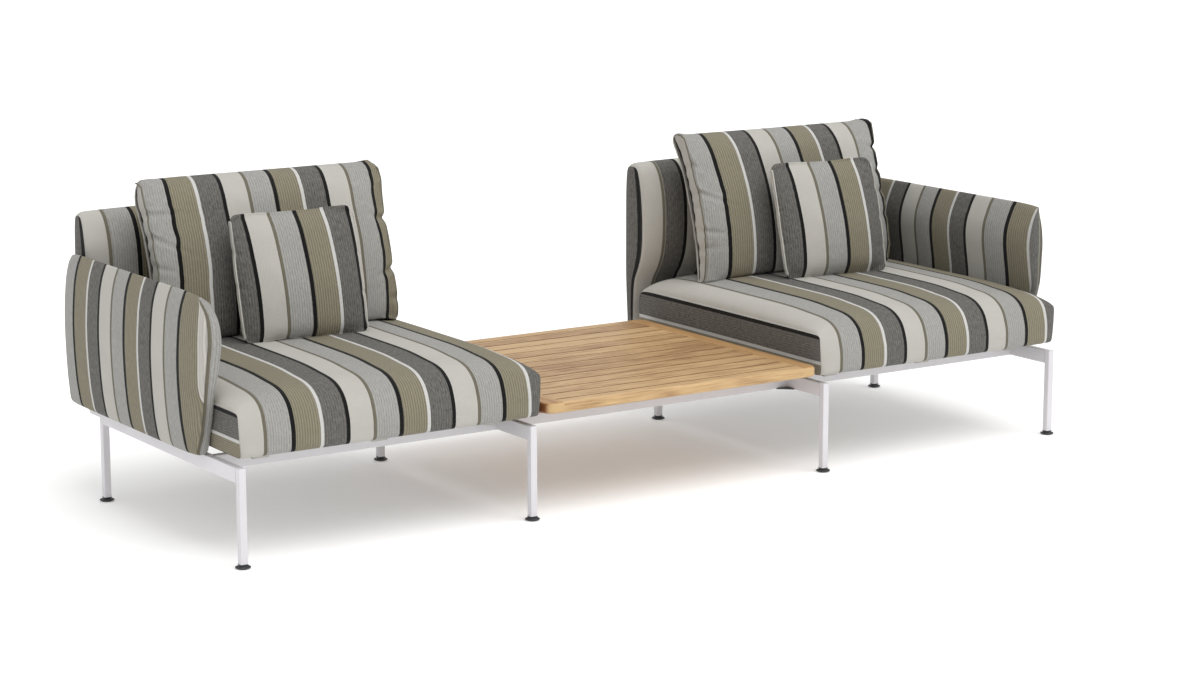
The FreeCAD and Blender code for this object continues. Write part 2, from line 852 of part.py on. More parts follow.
def seat_nodes():
    nodes = {}
    for index, side in enumerate(("left", "right")):
        nodes[f"seat_bearers_{side}"] = seat_bearers(index)
        nodes[f"seat_board_{side}"] = seat_board(index)
        nodes[f"seat_cushion_{side}"] = seat_cushion(index)
        nodes[f"back_panel_{side}"] = back_panel(index)
        nodes[f"back_frame_{side}"] = back_frame(index)
        nodes[f"back_brackets_{side}"] = back_brackets(index)
        nodes[f"arm_panel_{side}"] = arm_panel(index)
        nodes[f"arm_frame_{side}"] = arm_frame(index)
        nodes[f"arm_brackets_{side}"] = arm_brackets(index)
        nodes[f"back_cushion_{side}"] = back_cushion(index)
        nodes[f"lumbar_pillow_{side}"] = lumbar_pillow(index)
    return nodes


def table_nodes():
    return {
        "table_slats": table_slats(),
        "table_end_rail_left": table_end_rail(0),
        "table_end_rail_right": table_end_rail(1),
        "table_battens": table_battens(),
    }


def main():
    nodes = {**frame_nodes(), **seat_nodes(), **table_nodes()}
    front = min(shape.optimalBoundingBox(False).YMin for shape in nodes.values())
    rear = max(shape.optimalBoundingBox(False).YMax for shape in nodes.values())
    os.makedirs("parts", exist_ok=True)
    for name, shape in nodes.items():
        shape.translate(vector(0, -(front + rear) / 2, 0))
        shape.exportStep(f"parts/{name}.step")
    print(f"{len(nodes)} nodes, Y shift {-(front + rear) / 2:.3f}")


main()
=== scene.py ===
import math

import bpy
from mathutils import Matrix, Vector


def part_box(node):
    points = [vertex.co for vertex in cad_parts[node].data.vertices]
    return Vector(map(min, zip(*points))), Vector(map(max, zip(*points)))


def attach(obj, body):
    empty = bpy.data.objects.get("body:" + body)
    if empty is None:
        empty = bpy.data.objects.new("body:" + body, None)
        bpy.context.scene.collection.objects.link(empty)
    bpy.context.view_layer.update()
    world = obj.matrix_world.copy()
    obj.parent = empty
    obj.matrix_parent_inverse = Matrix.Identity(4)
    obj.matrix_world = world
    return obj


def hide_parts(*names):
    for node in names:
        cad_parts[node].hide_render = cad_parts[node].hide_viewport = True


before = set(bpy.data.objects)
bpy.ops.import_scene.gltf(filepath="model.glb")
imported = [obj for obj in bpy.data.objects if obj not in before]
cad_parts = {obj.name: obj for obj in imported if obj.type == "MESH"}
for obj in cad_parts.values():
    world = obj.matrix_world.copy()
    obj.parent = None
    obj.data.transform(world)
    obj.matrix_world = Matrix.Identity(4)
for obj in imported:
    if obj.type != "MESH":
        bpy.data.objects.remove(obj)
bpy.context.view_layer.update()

# Plan sizes in millimetres: Y from the front faces of the front legs, Z from the floor
Y_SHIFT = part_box("front_leg_1")[0][1] * 1000
OUTER = 1355.0  # middle of the bench to an outer leg face
PAD_LEFTS = (-1353.0, 467.0)
PAD_WIDTH = 886.0
FIT = 0.95  # photo units, in which stripes and arms were measured, to millimetres
PERIOD = 326.0  # one full repeat of the stripes, in photo units
SIDES = ("left", "right")
# The pads' crown from their side seams inwards: share and reach of its round edge and of its slow rise
CROWN_EDGE = (0.66, 60.0)
CROWN_RISE = (0.34, 225.0)


def put(x, y, z):
    return Vector((x / 1000, (y + Y_SHIFT) / 1000, z / 1000))


def clamp(x):
    return min(max(x, 0.0), 1.0)


def swell(distance, reach):
    """Quarter-round rise from 0 to 1 over a reach."""
    if distance >= reach:
        return 1.0
    return math.sqrt(1.0 - (1.0 - max(distance, 0.0) / reach) ** 2)


def crown(inwards):
    """Share of a pad's full rise at a distance from its side seam."""
    edge, edge_reach = CROWN_EDGE
    rise, rise_reach = CROWN_RISE
    return edge * swell(inwards, edge_reach) + rise * math.sin(math.pi / 2 * min(inwards / rise_reach, 1.0))


def lerp(a, b, t):
    return a + (b - a) * t


def table(pairs, x):
    """Straight-line reading between (x, value) pairs in rising x, carried on past both ends."""
    for (x0, v0), (x1, v1) in zip(pairs, pairs[1:]):
        if x <= x1:
            break
    return v0 + (v1 - v0) * (x - x0) / (x1 - x0)


def add_object(name, data):
    obj = bpy.data.objects.new(name, data)
    bpy.context.scene.collection.objects.link(obj)
    return obj


# Closed outlines

def curve_point(p0, p1, p2, p3, t):
    """Point between p1 and p2 on a centripetal spline."""
    k0 = 0.0
    k1 = k0 + max((p1 - p0).length, 1e-3) ** 0.5
    k2 = k1 + max((p2 - p1).length, 1e-3) ** 0.5
    k3 = k2 + max((p3 - p2).length, 1e-3) ** 0.5
    k = lerp(k1, k2, t)
    a1 = p0 * ((k1 - k) / (k1 - k0)) + p1 * ((k - k0) / (k1 - k0))
    a2 = p1 * ((k2 - k) / (k2 - k1)) + p2 * ((k - k1) / (k2 - k1))
    a3 = p2 * ((k3 - k) / (k3 - k2)) + p3 * ((k - k2) / (k3 - k2))
    b1 = a1 * ((k2 - k) / (k2 - k0)) + a2 * ((k - k0) / (k2 - k0))
    b2 = a2 * ((k3 - k) / (k3 - k1)) + a3 * ((k - k1) / (k3 - k1))
    return b1 * ((k2 - k) / (k2 - k1)) + b2 * ((k - k1) / (k2 - k1))


def closed(pole_a, side, pole_b, other):
    """Closed outline: first pole, one side, second pole, and the other side, paired with the first."""
    points = [pole_a] + list(side) + [pole_b] + list(reversed(other))
    return [Vector(p if len(p) == 3 else (p[0], p[1], 0.0)) for p in points]


def dense(outlines, spacing):
    """Same number of points on each outline, set by the first one's lengths and kept symmetric."""
    count = len(outlines[0])
    half = count // 2
    steps = []
    for i in range(half):
        a = (outlines[0][(i + 1) % count] - outlines[0][i]).length
        b = (outlines[0][-(i + 1) % count] - outlines[0][-i % count]).length
        steps.append(max(1, round(max(a, b) / spacing)))
    steps += list(reversed(steps))
    result = []
    for outline in outlines:
        points = []
        for i in range(count):
            four = [outline[(i + k) % count] for k in (-1, 0, 1, 2)]
            points += [curve_point(*four, k / steps[i]) for k in range(steps[i])]
        result.append(points)
    return result


def stations(length, fine, coarse):
    """Distances from one edge to the other, fine near both."""
    near = [0.0]
    step = fine
    while near[-1] + step < length / 2 - coarse / 2:
        near.append(near[-1] + step)
        step = min(step * 1.35, coarse)
    return near + [length / 2] + [length - d for d in reversed(near)]


# Soft pieces

BULGE_POWER = 0.8  # across a boxing: the lower, the fuller
BULGE_ONSET = 2.2  # along a boxing: the higher, the sooner it is full past its poles


def soft_piece(name, loops, stripe, band_of, bulge, across=8, flip=False):
    """Closed upholstered form: a striped strip wrapped through the loops, and a boxing at each end.

    Loops are in millimetres. stripe holds a place in the pattern for each of their points, and
    band_of(end, share, point) gives one on a boxing, in photo units. The object keeps the numbers
    of the points along its two seams.
    """
    count = len(loops[0])
    half = count // 2
    verts = [p for loop in loops for p in loop]
    faces = []
    zones = []
    stripe = list(stripe)
    band = [0.0] * len(verts)
    run = []
    for loop in loops:
        total = 0.0
        for i, p in enumerate(loop):
            run.append(total)
            total += (loop[(i + 1) % count] - p).length
    for s in range(len(loops) - 1):
        for i in range(count):
            j = (i + 1) % count
            quad = (s * count + i, s * count + j, (s + 1) * count + j, (s + 1) * count + i)
            faces.append(quad)
            zones.append(0)
    for end in (0, 1):
        base = (len(loops) - 1) * count if end else 0
        loop = loops[-1] if end else loops[0]
        inner = loops[-2] if end else loops[1]
        centre = sum(loop, Vector()) / count
        out = (centre - sum(inner, Vector()) / count).normalized()
        rows = []
        for i in range(half + 1):
            if i in (0, half):
                rows.append([base + i])
                band[base + i] = band_of(end, 0.5, loop[i])
                continue
            a, b = loop[i], loop[count - i]
            level = math.sin(math.pi * i / half)
            row = [base + i]
            for k in range(1, across):
                w = k / across
                swollen = bulge * (4 * w * (1 - w)) ** BULGE_POWER * min(1.0, BULGE_ONSET * level)
                verts.append(a.lerp(b, w) + out * swollen)
                stripe.append(stripe[base + i])
                run.append(run[base + i])
                band.append(band_of(end, w, verts[-1]))
                row.append(len(verts) - 1)
            row.append(base + count - i)
            band[base + i] = band_of(end, 0.0, a)
            band[base + count - i] = band_of(end, 1.0, b)
            rows.append(row)
        for lower, upper in zip(rows, rows[1:]):
            for k in range(across):
                if len(lower) == 1:
                    quad = (lower[0], upper[k + 1], upper[k])
                elif len(upper) == 1:
                    quad = (lower[k], lower[k + 1], upper[0])
                else:
                    quad = (lower[k], lower[k + 1], upper[k + 1], upper[k])
                faces.append(quad if end else tuple(reversed(quad)))
                zones.append(1)
    if flip:
        faces = [tuple(reversed(f)) for f in faces]
    mesh = bpy.data.meshes.new(name)
    mesh.from_pydata([put(*p) for p in verts], [], faces)
    for key, values in (("stripe", stripe), ("band", band), ("run", run)):
        mesh.attributes.new(key, "FLOAT", "POINT").data.foreach_set("value", values)
    mesh.polygons.foreach_set("material_index", zones)
    mesh.polygons.foreach_set("use_smooth", [True] * len(faces))
    mesh.validate()
    mesh.update()
    obj = add_object(name, mesh)
    obj["seam_0"] = list(range(count))
    obj["seam_1"] = [(len(loops) - 1) * count + i for i in range(count)]
    return obj


PRESSURE = 4.0
CLOTH_FRAMES = 20


def puff(obj, growth, cap):
    """Cloth under pressure with its seams held; each point's move is capped, in metres, and applied."""
    mesh = obj.data
    start = [v.co.copy() for v in mesh.vertices]
    held = obj.vertex_groups.new(name="held")
    held.add(list(obj["seam_0"]) + list(obj["seam_1"]), 1.0, "REPLACE")
    mod = obj.modifiers.new("Cloth", "CLOTH")
    cloth = mod.settings
    cloth.quality = 6
    cloth.mass = 0.25
    cloth.tension_stiffness = 22
    cloth.compression_stiffness = 18
    cloth.shear_stiffness = 6
    cloth.bending_stiffness = 0.6
    cloth.vertex_group_mass = "held"
    cloth.shrink_min = -growth
    cloth.shrink_max = -growth
    cloth.use_pressure = True
    cloth.uniform_pressure_force = PRESSURE
    cloth.effector_weights.gravity = 0.0
    mod.collision_settings.use_collision = False
    mod.collision_settings.use_self_collision = False
    mod.point_cache.frame_start = 1
    mod.point_cache.frame_end = CLOTH_FRAMES
    scene = bpy.context.scene
    for number in range(1, CLOTH_FRAMES + 1):
        scene.frame_set(number)
    graph = bpy.context.evaluated_depsgraph_get()
    moved = obj.evaluated_get(graph).to_mesh()
    places = [v.co.copy() for v in moved.vertices]
    obj.evaluated_get(graph).to_mesh_clear()
    obj.modifiers.remove(mod)
    obj.vertex_groups.remove(held)
    scene.frame_set(1)
    for vertex, before, after in zip(mesh.vertices, start, places):
        move = after - before
        if move.length > cap:
            move *= cap / move.length
        vertex.co = before + move
    mesh.update()


def crease(obj, insets):
    for vertex, inset in zip(obj.data.vertices, insets):
        vertex.co.y += inset / 1000


def subdivided(obj):
    mod = obj.modifiers.new("Smooth", "SUBSURF")
    mod.levels = 1
    mod.render_levels = 1


def piping(name, obj, key, radius, material, body, start=0.0, end=1.0):
    """Round cord sewn along a seam of a soft piece, over a share of it."""
    seam = list(obj[key])
    count = len(seam)
    first, last = round(start * count), round(end * count)
    whole = last - first >= count
    indices = [seam[i % count] for i in range(first, last if whole else last + 1)]
    curve = bpy.data.curves.new(name, "CURVE")
    curve.dimensions = "3D"
    curve.bevel_depth = radius / 1000
    curve.bevel_resolution = 2
    curve.use_fill_caps = True
    spline = curve.splines.new("POLY")
    spline.points.add(len(indices) - 1)
    for point, index in zip(spline.points, indices):
        point.co = (*obj.data.vertices[index].co, 1.0)
    spline.use_cyclic_u = whole
    curve.materials.append(material)
    made = add_object(name, curve)
    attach(made, body)


# Materials

def linear(r, g, b):
    def one(c):
        c /= 255
        return c / 12.92 if c <= 0.04045 else ((c + 0.055) / 1.055) ** 2.4
    return (one(r), one(g), one(b), 1.0)


def grey(value):
    return (value, value, value, 1.0)


def dimmed(colour, factor):
    return tuple(c * factor for c in colour[:3]) + (1.0,)


class Nodes:
    """Short way to lay out a node material."""

    def __init__(self, name):
        self.material = bpy.data.materials.new(name)
        self.material.use_nodes = True
        self.tree = self.material.node_tree
        self.shader = self.tree.nodes["Principled BSDF"]

    def add(self, kind, **settings):
        node = self.tree.nodes.new(kind)
        for key, value in settings.items():
            setattr(node, key, value)
        return node

    def link(self, source, target):
        self.tree.links.new(source, target)

    def feed(self, socket, value):
        """Set a socket to a number or colour, or link another node's output to it."""
        if isinstance(value, (int, float, tuple)):
            socket.default_value = value
        else:
            self.link(value, socket)

    def math(self, operation, a, b=None, clamp=False):
        node = self.add("ShaderNodeMath", operation=operation, use_clamp=clamp)
        self.feed(node.inputs[0], a)
        if b is not None:
            self.feed(node.inputs[1], b)
        return node.outputs[0]

    def plus(self, a, b):
        return self.math("ADD", a, b)

    def times(self, a, b):
        return self.math("MULTIPLY", a, b)

    def swing(self, value, gain):
        """A value from 0 to 1 turned into a swing about zero."""
        return self.times(self.math("SUBTRACT", value, 0.5), gain)

    def wave(self, value, pitch):
        return self.math("SINE", self.times(value, 2 * math.pi / pitch))

    def attribute(self, name):
        return self.add("ShaderNodeAttribute", attribute_name=name).outputs["Fac"]

    def split(self, vector):
        node = self.add("ShaderNodeSeparateXYZ")
        self.link(vector, node.inputs[0])
        return node.outputs

    def object_place(self):
        return self.add("ShaderNodeTexCoord").outputs["Object"]

    def vector(self, x, y, z):
        node = self.add("ShaderNodeCombineXYZ")
        for socket, value in zip(node.inputs, (x, y, z)):
            self.feed(socket, value)
        return node.outputs[0]

    def noise(self, vector, scale, detail=2.0, roughness=0.5):
        node = self.add("ShaderNodeTexNoise")
        node.inputs["Scale"].default_value = scale
        node.inputs["Detail"].default_value = detail
        node.inputs["Roughness"].default_value = roughness
        self.link(vector, node.inputs["Vector"])
        return node.outputs["Fac"]

    def ramp(self, factor, stops, interpolation="LINEAR"):
        node = self.add("ShaderNodeValToRGB")
        ramp = node.color_ramp
        ramp.interpolation = interpolation
        while len(ramp.elements) < len(stops):
            ramp.elements.new(0.5)
        for element, (place, colour) in zip(ramp.elements, stops):
            element.position = place
            element.color = colour
        self.link(factor, node.inputs["Fac"])
        return node.outputs["Color"]

    def mix(self, factor, a, b, blend="MIX"):
        """Colour mix: sockets 0, 6 and 7 are its factor and its two colours, and 2 its colour out."""
        node = self.add("ShaderNodeMix", data_type="RGBA", blend_type=blend)
        for number, value in ((0, factor), (6, a), (7, b)):
            self.feed(node.inputs[number], value)
        return node.outputs[2]

    def colour(self, source):
        self.link(source, self.shader.inputs["Base Color"])

    def bump(self, height, distance, strength):
        node = self.add("ShaderNodeBump")
        node.inputs["Strength"].default_value = strength
        node.inputs["Distance"].default_value = distance
        self.link(height, node.inputs["Height"])
        self.link(node.outputs["Normal"], self.shader.inputs["Normal"])

    def finish(self, **values):
        for socket in self.shader.inputs:
            key = socket.name.lower().replace(" ", "_")
            if key in values:
                socket.default_value = values[key]
        return self.material


CREAM = linear(184, 181, 174)
THIN_OLIVE = linear(107, 102, 88)
LIGHT_GREY = linear(155, 154, 150)
BLACK = linear(10, 10, 9)
OLIVE = linear(129, 123, 105)
WHITE = linear(199, 198, 195)
CHARCOAL = linear(99, 97, 93)
CHARCOAL_START = 247
# Colour, its end in the repeat, depth of the streaks and depth of the ribs
STRIPES = (
    (CREAM, 69, 0.03, 0.01),
    (THIN_OLIVE, 80, 0.15, 0.05),
    (LIGHT_GREY, 149.5, 0.24, 0.12),
    (BLACK, 162.5, 0.3, 0.1),
    (OLIVE, 236, 0.16, 0.22),
    (WHITE, CHARCOAL_START, 0.03, 0.02),
    (CHARCOAL, 313.5, 0.62, 0.16),
    (BLACK, PERIOD, 0.3, 0.1),
)
ARM_LAST = 885.0  # where the left arm's cloth ends in a cream sliver, in photo units
# The weave, in photo units; a streak is drawn out along the stripe
STREAK_SQUEEZE = 0.3
RIB_PITCH = 7.7
WARP_PITCH = 1.5
WEFT_PITCH = 1.2


def weave(nodes, colour, streak, rib, across, along):
    """Woven finish: streaks along the stripe, fine ribs across it, and the thread's bump."""
    thread = nodes.vector(across, nodes.times(along, STREAK_SQUEEZE), 0.0)
    streaks = nodes.swing(nodes.noise(thread, 0.22, 4.0, 0.85), 4.5)
    light = nodes.plus(nodes.times(streaks, streak), 1.0)
    ribs = nodes.times(nodes.wave(across, RIB_PITCH), rib)
    light = nodes.plus(light, ribs)
    cloud = nodes.noise(nodes.vector(across, along, 0.0), 0.012)
    light = nodes.plus(light, nodes.swing(cloud, 0.12))
    nodes.colour(nodes.mix(1.0, colour, nodes.vector(light, light, light), "MULTIPLY"))
    height = nodes.times(nodes.wave(across, WARP_PITCH), nodes.wave(along, WEFT_PITCH))
    height = nodes.plus(height, nodes.times(ribs, 6.0))
    height = nodes.plus(height, nodes.times(streaks, 0.5))
    nodes.bump(height, 0.00035, 0.6)
    return nodes.finish(roughness=0.88, specular_ior_level=0.2, sheen_weight=0.06, sheen_roughness=0.5)


def striped(name, key, patch=None):
    """The striped cloth, read along one attribute; patch is (from, colour) past the last stripe."""
    nodes = Nodes(name)
    place = nodes.attribute(key)
    along = nodes.attribute("run")
    fuzz = nodes.noise(nodes.vector(place, along, 0.0), 0.5)
    shaken = nodes.plus(place, nodes.swing(fuzz, 2.0))
    share = nodes.math("FRACT", nodes.math("DIVIDE", shaken, PERIOD))
    starts = [0.0] + [end / PERIOD for _, end, _, _ in STRIPES[:-1]]

    def read(pick):
        stops = [(start, pick(stripe)) for start, stripe in zip(starts, STRIPES)]
        return nodes.ramp(share, stops, "CONSTANT")

    colour = read(lambda stripe: stripe[0])
    streak = read(lambda stripe: grey(stripe[2]))
    rib = read(lambda stripe: grey(stripe[3]))
    if patch:
        past = nodes.math("GREATER_THAN", shaken, patch[0])
        colour = nodes.mix(past, colour, patch[1])
        streak = nodes.mix(past, streak, grey(0.05))
    return weave(nodes, colour, streak, rib, place, along)


def plain_cloth(name, colour):
    nodes = Nodes(name)
    place = nodes.split(nodes.object_place())
    x = nodes.times(place[0], 1000.0)
    z = nodes.times(place[2], 1000.0)
    return weave(nodes, colour, 0.12, 0.2, x, z)


def painted(name, colour, roughness=0.42):
    nodes = Nodes(name)
    place = nodes.object_place()
    fine = nodes.noise(place, 900.0)
    soft = nodes.noise(place, 9.0, 3.0)
    nodes.colour(nodes.ramp(soft, [(0.3, dimmed(colour, 0.95)), (0.7, colour)]))
    nodes.bump(fine, 0.00012, 0.35)
    return nodes.finish(roughness=roughness)


# Where the sides of the slats get the grooves' painted shade: middle of the band below the top, and half its
# height
GROOVE_MIDDLE = 0.0103
GROOVE_HALF = 0.0099
# Painted shade: the red-brown of the slats' sides down in the grooves
GROOVE_SHADE_COLOUR = linear(120, 62, 24)
# How steep a face starts to show its facing's tone, and how fast it takes over; along X that tone is partly
# dark end grain, partly painted shade
FACING_START = 0.45
FACING_GAIN = 3.0


def wood(name, light, dark, axis, board, groove=None, ends=None):
    """Oiled hardwood with its grain along one axis and a tone of its own for each board.

    Groove is (top, front, rear): below the top and between these, the sides of the slats get a painted
    red-brown shade.
    Ends are the tones of the faces that look along X and along Y; the one along X is partly dark end grain
    and partly painted shade.
    """
    nodes = Nodes(name)
    place = nodes.split(nodes.object_place())
    along = place[axis]
    across = place[1 - axis]
    height = place[2]
    number = nodes.math("FLOOR", nodes.math("DIVIDE", across, board))
    own = nodes.add("ShaderNodeTexWhiteNoise", noise_dimensions="1D")
    nodes.link(number, own.inputs["W"])
    tone = own.outputs["Value"]
    length = nodes.plus(along, nodes.times(tone, 7.0))

    def drawn(stretch, squeeze, detail, roughness):
        """Noise drawn out along the grain."""
        thin = nodes.vector(
            nodes.times(length, stretch), nodes.times(across, squeeze), nodes.times(height, squeeze),
        )
        return nodes.noise(thin, 1.0, detail, roughness)

    flow = nodes.noise(nodes.vector(length, nodes.times(across, 9.0), height), 2.2, 3.0, 0.55)
    turn = nodes.plus(nodes.times(across, 42.0), nodes.times(flow, 6.0))
    rings = nodes.plus(nodes.math("SINE", nodes.times(turn, 6.283)), 1.0)
    fibre = nodes.plus(nodes.swing(drawn(9.0, 260.0, 4.0, 0.7), 2.0), 0.5)
    figure = nodes.plus(nodes.times(rings, 0.1), nodes.times(fibre, 0.74))
    figure = nodes.plus(figure, nodes.swing(drawn(4.0, 70.0, 3.0, 0.6), 0.4))
    figure = nodes.plus(figure, nodes.swing(tone, 0.3))
    middle = tuple(lerp(d, l, 0.6) for d, l in zip(dark, light))
    colour = nodes.ramp(figure, [(0.1, dark), (0.5, middle), (0.9, light)])
    if groove:
        top, front, rear = groove
        inside = nodes.math("COMPARE", height, top - GROOVE_MIDDLE)
        inside.node.inputs[2].default_value = GROOVE_HALF
        for side, edge in (("GREATER_THAN", front), ("LESS_THAN", rear)):
            inside = nodes.times(inside, nodes.math(side, across, edge))
        # Painted shade on the slats' sides down in the grooves
        colour = nodes.mix(inside, colour, GROOVE_SHADE_COLOUR)
    # Faces along X: partly dark end grain, partly painted shade of the table's left end
    if ends:
        facing = nodes.split(nodes.add("ShaderNodeNewGeometry").outputs["Normal"])
        for side, tone_there in zip((0, 1), ends):
            turned = nodes.math("SUBTRACT", nodes.math("ABSOLUTE", facing[side]), FACING_START)
            turned = nodes.math("MULTIPLY", turned, FACING_GAIN, clamp=True)
            grained = nodes.mix(fibre, tuple(c * 0.75 for c in tone_there), tone_there)
            colour = nodes.mix(turned, colour, grained)
    nodes.colour(colour)
    nodes.bump(fibre, 0.0004, 0.4)
    return nodes.finish(roughness=0.5)


STRIPED = striped("striped_weave", "stripe")
STRIPED_ARM = striped("striped_weave_arm", "stripe", (ARM_LAST, CREAM))
BANDED = striped("banded_weave", "band")
CREAM_CLOTH = plain_cloth("cream_piping", CREAM)
OLIVE_CLOTH = plain_cloth("olive_piping", THIN_OLIVE)
FRAME_PAINT = painted("frame_paint", linear(213, 211, 214))
DARK_PAINT = painted("dark_paint", linear(52, 52, 55), 0.5)
BLACK_PLASTIC = painted("black_plastic", linear(44, 44, 47), 0.5)
SLAT_PITCH = 0.0652
SLAT_EDGE = 0.015  # how far in from the table's long edges the grooves' colour starts
WIDE_BOARD = 0.9  # so wide that each end board has one tone all over
PLY_WIDTH = 0.3
slat_low, slat_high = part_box("table_slats")
TEAK = wood(
    "table_teak", linear(208, 175, 126), linear(128, 88, 50), 0, SLAT_PITCH,
    groove=(slat_high[2], slat_low[1] + SLAT_EDGE, slat_high[1] - SLAT_EDGE),
)
TEAK_END = wood(
    "table_end_teak", linear(198, 158, 108), linear(146, 104, 60), 1, WIDE_BOARD,
    # Along X, dark end grain deepened by painted shade; along Y, a light honey like the front slat
    ends=(linear(130, 78, 38), linear(206, 172, 122)),
)
PLY = wood("platform_board", linear(196, 193, 188), linear(176, 172, 166), 0, PLY_WIDTH)
# The CAD pieces that stay as they are, by the start of their names
DRESSED = (
    (FRAME_PAINT, ("front_leg", "rear_leg", "crossbeam", "front_rail", "rear_rail", "back_brackets",
                   "arm_brackets")),
    (BLACK_PLASTIC, ("leg_inserts",)),
    (DARK_PAINT, ("corner_gussets",)),
    (PLY, ("seat_board", "seat_bearers", "back_frame", "arm_frame")),
    (TEAK, ("table_slats",)),
    (TEAK_END, ("table_end_rail",)),
)
for material, starts in DRESSED:
    for node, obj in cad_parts.items():
        if node.startswith(starts):
            obj.data.materials.clear()
            obj.data.materials.append(material)


# Table battens with bevelled ends, so that none shows below the table's edge

BATTEN_COUNT = 3
BATTEN_WIDTH = 0.045
BATTEN_NOSE = 0.007  # upright part of an end
BATTEN_SLOPE = 0.1  # length of an end's bevel


def bevelled_battens():
    low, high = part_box("table_battens")
    front, rear = low[1], high[1]
    bottom, top = low[2], high[2]
    side = [(front, top), (front, top - BATTEN_NOSE), (front + BATTEN_SLOPE, bottom),
            (rear - BATTEN_SLOPE, bottom), (rear, top - BATTEN_NOSE), (rear, top)]
    count = len(side)
    verts = []
    faces = []
    for k in range(BATTEN_COUNT):
        left = lerp(low[0], high[0] - BATTEN_WIDTH, k / (BATTEN_COUNT - 1))
        base = len(verts)
        verts += [(left, y, z) for y, z in side] + [(left + BATTEN_WIDTH, y, z) for y, z in side]
        faces.append(tuple(base + i for i in range(count)))
        faces.append(tuple(base + count + i for i in reversed(range(count))))
        for i in range(count):
            j = (i + 1) % count
            faces.append((base + j, base + i, base + count + i, base + count + j))
    mesh = bpy.data.meshes.new("battens")
    mesh.from_pydata(verts, [], faces)
    mesh.materials.append(TEAK)
    return mesh


battens = add_object("battens_bevelled", bevelled_battens())
rounding = battens.modifiers.new("Edges", "BEVEL")
rounding.width = 0.0012
rounding.segments = 2
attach(battens, "bench")
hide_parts("table_battens")


# Levelling glides, turned: a domed foot, a neck nut and a threaded stem, as radius and height in millimetres

GLIDE_SIDES = 40
GLIDE_FOOT = [(13.5, 0), (14, 0.3), (18.6, 2.4), (19.8, 3.3), (20, 4), (19.7, 4.8), (18, 5.8),
              (13, 7.6), (9.4, 8.6), (9.0, 9.2), (9.0, 9.9), (3.9, 10)]
THREAD_TURN = [(3.4, 0.15), (3.95, 0.6), (3.4, 1.1)]
THREAD_PITCH = 1.25
THREAD_TURNS = 32
STEM_END = (3.0, 50)


def lathe(name, outline, sides, material):
    verts = []
    faces = []
    for i, (radius, z) in enumerate(outline):
        for k in range(sides):
            angle = 2 * math.pi * k / sides
            verts.append((radius * math.cos(angle) / 1000, radius * math.sin(angle) / 1000, z / 1000))
            if i:
                a, b = (i - 1) * sides + k, (i - 1) * sides + (k + 1) % sides
                faces.append((a, b, b + sides, a + sides))
    faces.append(tuple(reversed(range(sides))))
    faces.append(tuple(range(len(verts) - sides, len(verts))))
    mesh = bpy.data.meshes.new(name)
    mesh.from_pydata(verts, [], faces)
    mesh.polygons.foreach_set("use_smooth", [len(f) == 4 for f in faces])
    mesh.materials.append(material)
    return mesh


thread_start = GLIDE_FOOT[-1][1]
glide_outline = list(GLIDE_FOOT)
for k in range(THREAD_TURNS):
    glide_outline += [(radius, thread_start + k * THREAD_PITCH + rise) for radius, rise in THREAD_TURN]
glide_outline.append(STEM_END)
glide_mesh = lathe("glide_turned", glide_outline, GLIDE_SIDES, BLACK_PLASTIC)
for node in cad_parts:
    if node.startswith("glide_"):
        low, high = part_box(node)
        glide = add_object(node + "_turned", glide_mesh)
        glide.location = ((low[0] + high[0]) / 2, (low[1] + high[1]) / 2, low[2])
        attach(glide, node)
        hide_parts(node)


# Seat pads

pad_front_mid = [(-8.5, 347), (-1, 371), (7.6, 391), (18, 405.7), (31, 416), (49, 427), (82, 437),
                 (147, 444), (206, 449.4), (268, 452), (330, 453), (450, 454), (600, 455),
                 (740, 453), (820, 444), (865, 430), (893, 408), (906, 374)]
pad_front_end = [(3, 347), (3, 366), (3.5, 383), (6, 391), (13, 394.5), (30, 395.6), (75, 396),
                 (147, 396), (206, 396), (268, 396), (330, 396), (450, 396), (600, 396),
                 (740, 396), (820, 396), (865, 394.5), (890, 389), (903, 369)]
pad_low_mid = [(-10.5, 304), (-9, 293), (-4, 285), (3, 281), (14, 279.8), (34, 279.4)]
pad_low_end = [(3, 304), (3.6, 293), (6, 285.5), (11, 281.5), (20, 280), (38, 279.4)]
pad_low_rest = [(75, 279.2), (147, 279.2), (206, 279.2), (268, 279.2), (330, 279.2), (450, 279.2),
                (600, 279.2), (740, 279.2), (820, 279.2), (860, 279.4), (888, 282), (903, 296)]
pad_mid = closed((-10.8, 326), pad_front_mid, (908, 335), pad_low_mid + pad_low_rest)
pad_end = closed((3, 326), pad_front_end, (905, 335), pad_low_end + pad_low_rest)
pad_mid, pad_end = dense([pad_mid, pad_end], 14.0)
PAD_DEPTH = 905.0
PAD_SEAM = 396.0  # height of the upper seam along the sides
PAD_BOXING = 117.0
PAD_SEAM_DRAW = 4.0  # how far the middle of a side is drawn in
PAD_FOOT_DRAW = 7.0  # how far the foot of a side is drawn in
PAD_DRAW_REACH = 90.0
PAD_START = 2.0  # place in the stripes at each pad's left edge, in photo units
PAD_BAND = (1.12, 1.0)  # stretch of the boxing's stripes on each pad
PAD_BULGE = 6.0


